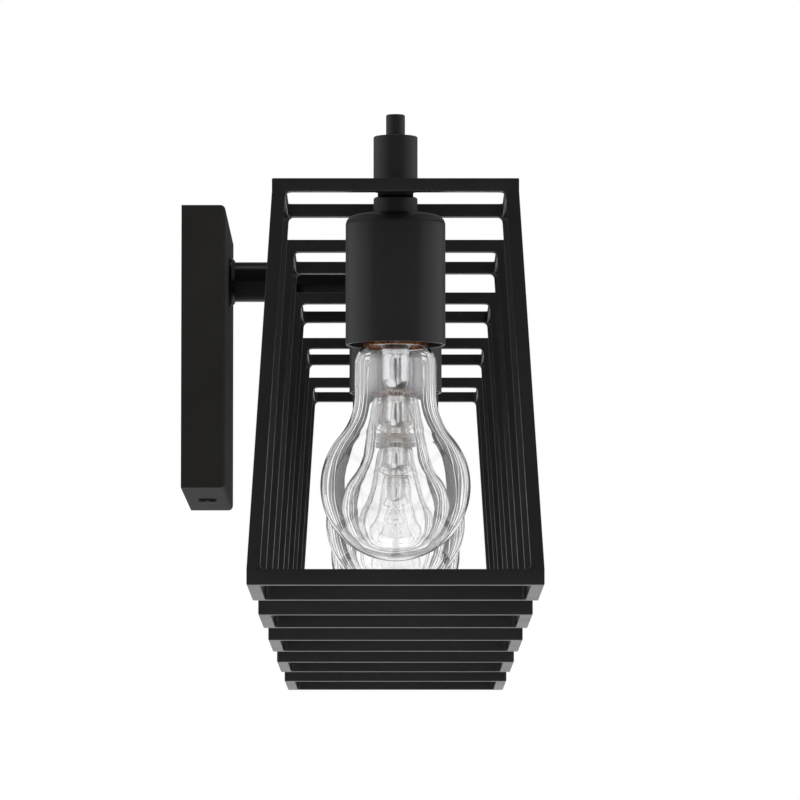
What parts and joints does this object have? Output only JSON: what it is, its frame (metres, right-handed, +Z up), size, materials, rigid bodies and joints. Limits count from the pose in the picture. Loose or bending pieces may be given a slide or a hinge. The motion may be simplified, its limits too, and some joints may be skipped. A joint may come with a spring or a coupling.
{
  "type": "vanity light",
  "caption": "Wall-mounted vanity light: a flat back plate and one arm carry a row of open square cages, each with a socket cup and a clear screw-in bulb that points down.",
  "frame": {"origin": "middle of the back plate's wall face, between the bracket's two slots", "axes": "+X along the row of lamps, +Y into the wall, +Z up"},
  "size_m": [1.036, 0.1554, 0.1986],
  "materials": {
    "black_metal": "satin black powder coat",
    "zinc_steel": "zinc plated",
    "green_screw": "green dyed zinc",
    "shell_brass": "bright, slightly tarnished",
    "dark_holder": "moulded, matte",
    "clear_glass": "clear, blown",
    "filament_wire": "drawn wire"
  },
  "bodies": {
    "fixture": {"back_plate": "black_metal", "mounting_bracket": "zinc_steel", "canopy_screws": "black_metal", "ground_screw": "green_screw", "arm_flange": "black_metal", "support_arm": "black_metal", "arm_nipple": "zinc_steel", "arm_lock_nut": "zinc_steel", "cross_tubes": "black_metal", "finials": "black_metal", "threaded_stems": "zinc_steel", "stem_lock_nuts": "zinc_steel", "socket_caps": "black_metal", "screw_shells": "shell_brass", "hub_1": "black_metal", "cage_1": "black_metal", "socket_cup_1": "black_metal", "lampholder_1": "dark_holder", "hub_2": "black_metal", "cage_2": "black_metal", "socket_cup_2": "black_metal", "lampholder_2": "dark_holder", "hub_3": "black_metal", "cage_3": "black_metal", "socket_cup_3": "black_metal", "lampholder_3": "dark_holder", "hub_4": "black_metal", "cage_4": "black_metal", "socket_cup_4": "black_metal", "lampholder_4": "dark_holder", "hub_5": "black_metal", "cage_5": "black_metal", "socket_cup_5": "black_metal", "lampholder_5": "dark_holder"},
    "contact_1": {"center_contact_1": "shell_brass"},
    "contact_2": {"center_contact_2": "shell_brass"},
    "contact_3": {"center_contact_3": "shell_brass"},
    "contact_4": {"center_contact_4": "shell_brass"},
    "contact_5": {"center_contact_5": "shell_brass"},
    "bulb_1": {"bulb_base_1": "shell_brass", "bulb_glass_1": "clear_glass", "bulb_stem_1": "clear_glass", "bulb_filament_1": "filament_wire"},
    "bulb_2": {"bulb_base_2": "shell_brass", "bulb_glass_2": "clear_glass", "bulb_stem_2": "clear_glass", "bulb_filament_2": "filament_wire"},
    "bulb_3": {"bulb_base_3": "shell_brass", "bulb_glass_3": "clear_glass", "bulb_stem_3": "clear_glass", "bulb_filament_3": "filament_wire"},
    "bulb_4": {"bulb_base_4": "shell_brass", "bulb_glass_4": "clear_glass", "bulb_stem_4": "clear_glass", "bulb_filament_4": "filament_wire"},
    "bulb_5": {"bulb_base_5": "shell_brass", "bulb_glass_5": "clear_glass", "bulb_stem_5": "clear_glass", "bulb_filament_5": "filament_wire"}
  },
  "joints": [
    {"name": "contact_1_slide", "type": "slide", "parent": "fixture", "child": "contact_1", "axis": [0, 0, 1], "range_m": [-0.00181, 0]},
    {"name": "bulb_1_turn", "type": "hinge", "parent": "contact_1", "child": "bulb_1", "pos_m": [-0.46, -0.0974, -0.034], "axis": [0, 0, 1], "range_deg": [-180, 0]},
    {"name": "contact_2_slide", "type": "slide", "parent": "fixture", "child": "contact_2", "axis": [0, 0, 1], "range_m": [-0.00181, 0]},
    {"name": "bulb_2_turn", "type": "hinge", "parent": "contact_2", "child": "bulb_2", "pos_m": [-0.23, -0.0974, -0.034], "axis": [0, 0, 1], "range_deg": [-180, 0]},
    {"name": "contact_3_slide", "type": "slide", "parent": "fixture", "child": "contact_3", "axis": [0, 0, 1], "range_m": [-0.00181, 0]},
    {"name": "bulb_3_turn", "type": "hinge", "parent": "contact_3", "child": "bulb_3", "pos_m": [0, -0.0974, -0.034], "axis": [0, 0, 1], "range_deg": [-180, 0]},
    {"name": "contact_4_slide", "type": "slide", "parent": "fixture", "child": "contact_4", "axis": [0, 0, 1], "range_m": [-0.00181, 0]},
    {"name": "bulb_4_turn", "type": "hinge", "parent": "contact_4", "child": "bulb_4", "pos_m": [0.23, -0.0974, -0.034], "axis": [0, 0, 1], "range_deg": [-180, 0]},
    {"name": "contact_5_slide", "type": "slide", "parent": "fixture", "child": "contact_5", "axis": [0, 0, 1], "range_m": [-0.00181, 0]},
    {"name": "bulb_5_turn", "type": "hinge", "parent": "contact_5", "child": "bulb_5", "pos_m": [0.46, -0.0974, -0.034], "axis": [0, 0, 1], "range_deg": [-180, 0]}
  ],
  "couplings": [
    {"joint": "bulb_1_turn", "follows": "contact_1_slide", "rad_per_m": 1730.9},
    {"joint": "bulb_2_turn", "follows": "contact_2_slide", "rad_per_m": 1730.9},
    {"joint": "bulb_3_turn", "follows": "contact_3_slide", "rad_per_m": 1730.9},
    {"joint": "bulb_4_turn", "follows": "contact_4_slide", "rad_per_m": 1730.9},
    {"joint": "bulb_5_turn", "follows": "contact_5_slide", "rad_per_m": 1730.9}
  ]
}
